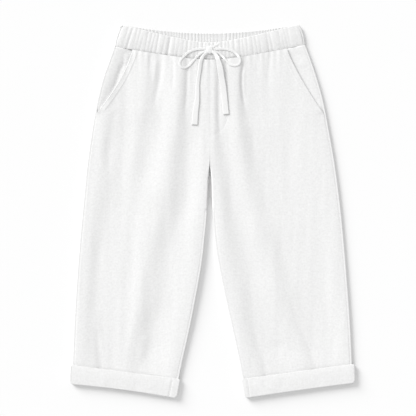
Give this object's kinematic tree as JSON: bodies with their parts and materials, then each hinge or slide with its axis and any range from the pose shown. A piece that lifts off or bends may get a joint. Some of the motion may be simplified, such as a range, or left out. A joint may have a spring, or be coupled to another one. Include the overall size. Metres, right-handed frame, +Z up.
{
  "type": "capri pants",
  "caption": "Wide-leg pull-on capri trousers laid flat, with a gathered drawstring waistband tied in a bow, slant pockets and turned-up cuffs.",
  "frame": {"origin": "on the surface that the trousers lie on, under the middle of their outline", "axes": "+Z up out of the front of the trousers, +Y from the hems to the waist, +X towards the wearer's left leg"},
  "size_m": [0.5988, 0.7831, 0.0172],
  "materials": {
    "linen": "matt white plain-weave linen",
    "waistband": "matt white linen gathered on elastic",
    "drawstring": "matt white flat cotton tape"
  },
  "bodies": {
    "root": {"front_right": "linen", "front_left": "linen", "back_right": "linen", "back_left": "linen", "pocket_hip_right": "linen", "pocket_hip_left": "linen", "cuff_right": "linen", "cuff_left": "linen", "waistband_front": "waistband", "waistband_back": "waistband", "drawstring_knot": "drawstring", "drawstring_loop_right": "drawstring", "drawstring_loop_left": "drawstring", "drawstring_tail_right": "drawstring", "drawstring_tail_left": "drawstring", "drawstring_feed_right": "drawstring", "drawstring_feed_left": "drawstring"}
  },
  "joints": []
}
